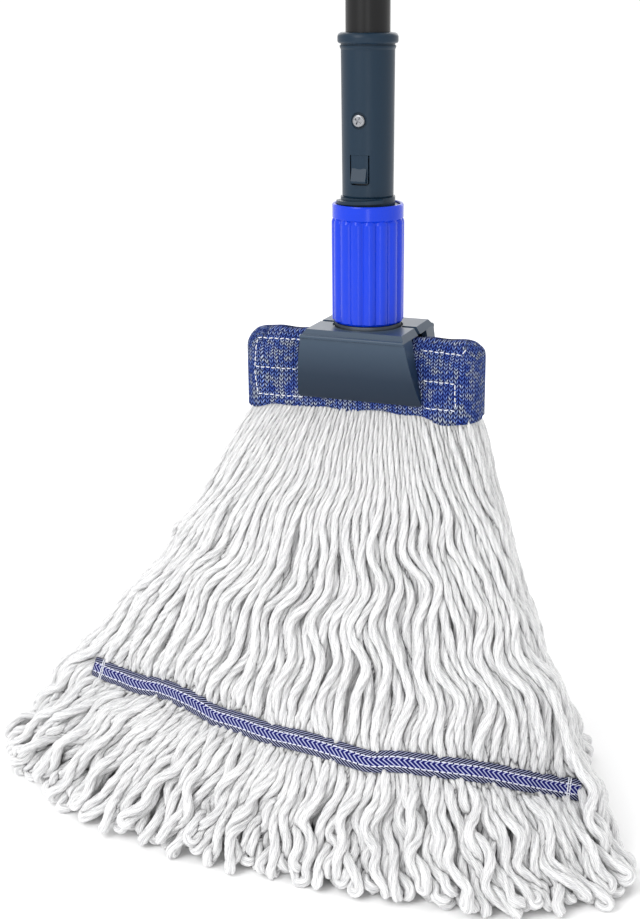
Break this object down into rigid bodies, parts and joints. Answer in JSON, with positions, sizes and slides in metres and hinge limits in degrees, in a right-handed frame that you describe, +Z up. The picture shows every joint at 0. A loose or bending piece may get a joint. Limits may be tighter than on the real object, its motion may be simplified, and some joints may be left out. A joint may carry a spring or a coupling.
{
  "type": "string mop",
  "caption": "Loop-end string mop: a fan of white yarn on a wide mesh headband, held by a twist-collar jaw clamp on a telescopic steel handle.",
  "frame": {"origin": "on the floor under the handle's axis, at the bottom centre of the bounding box", "axes": "+Z up along the handle, +X along the headband, -Y the front with the screw and the snap tab"},
  "size_m": [0.432, 0.28, 1.108],
  "materials": {
    "yarn": "matte twisted cotton",
    "band_mesh": "knitted mesh with white flecks",
    "tail_webbing": "woven webbing",
    "slate_plastic": "satin moulded",
    "blue_plastic": "glossy moulded",
    "black_steel": "satin powder coat",
    "zinc": "zinc plated",
    "spring_steel": "bright wire",
    "grip_rubber": "matte moulded",
    "light_plastic": "natural"
  },
  "bodies": {
    "mop_head": {"yarn_front": "yarn", "yarn_rear": "yarn", "headband": "band_mesh", "tail_band_front": "tail_webbing", "tail_band_rear": "tail_webbing"},
    "clamp": {"jaw_carrier": "slate_plastic", "socket": "slate_plastic", "handle_screw": "zinc", "lower_tube": "black_steel", "jaw_pins": "zinc", "jaw_springs": "spring_steel", "lock_bushing": "light_plastic"},
    "tab": {"snap_tab": "slate_plastic"},
    "front_jaw_body": {"front_jaw": "slate_plastic"},
    "rear_jaw_body": {"rear_jaw": "slate_plastic"},
    "ring": {"thrust_ring": "zinc"},
    "collar": {"twist_collar": "blue_plastic"},
    "upper_handle": {"upper_tube": "black_steel", "guide_plug": "light_plastic", "grip_sleeve": "grip_rubber", "hanging_cap": "slate_plastic"},
    "lock": {"lock_collar": "blue_plastic"}
  },
  "joints": [
    {"name": "head_release", "type": "slide", "parent": "mop_head", "child": "clamp", "axis": [0, 0, 1], "range_m": [0, 0.06]},
    {"name": "collar_travel", "type": "slide", "parent": "clamp", "child": "ring", "axis": [0, 0, 1], "range_m": [0, 0.012]},
    {"name": "collar_turn", "type": "hinge", "parent": "ring", "child": "collar", "pos_m": [0, 0, 0.3277], "axis": [0, 0, 1], "range_deg": [0, 721]},
    {"name": "front_jaw_swing", "type": "hinge", "parent": "clamp", "child": "front_jaw_body", "pos_m": [0, -0.007, 0.297], "axis": [-1, 0, 0], "range_deg": [0, 12.5], "deforming": ["jaw_springs"]},
    {"name": "rear_jaw_swing", "type": "hinge", "parent": "clamp", "child": "rear_jaw_body", "pos_m": [0, 0.007, 0.297], "axis": [1, 0, 0], "range_deg": [0, 12.5]},
    {"name": "snap_tab_flex", "type": "hinge", "parent": "clamp", "child": "tab", "pos_m": [0, -0.01465, 0.39], "axis": [-1, 0, 0], "range_deg": [0, 8], "stiffness_Nm_per_rad": 0.1},
    {"name": "handle_extend", "type": "slide", "parent": "clamp", "child": "upper_handle", "axis": [0, 0, 1], "range_m": [0, 0.38]},
    {"name": "lock_turn", "type": "hinge", "parent": "clamp", "child": "lock", "pos_m": [0, 0, 0.886], "axis": [0, 0, 1], "range_deg": [0, 90]}
  ],
  "couplings": [
    {"joint": "collar_turn", "follows": "collar_travel", "rad_per_m": 1047.2},
    {"joint": "front_jaw_swing", "follows": "collar_travel", "rad_per_m": 17.453},
    {"joint": "rear_jaw_swing", "follows": "collar_travel", "rad_per_m": 17.453}
  ]
}
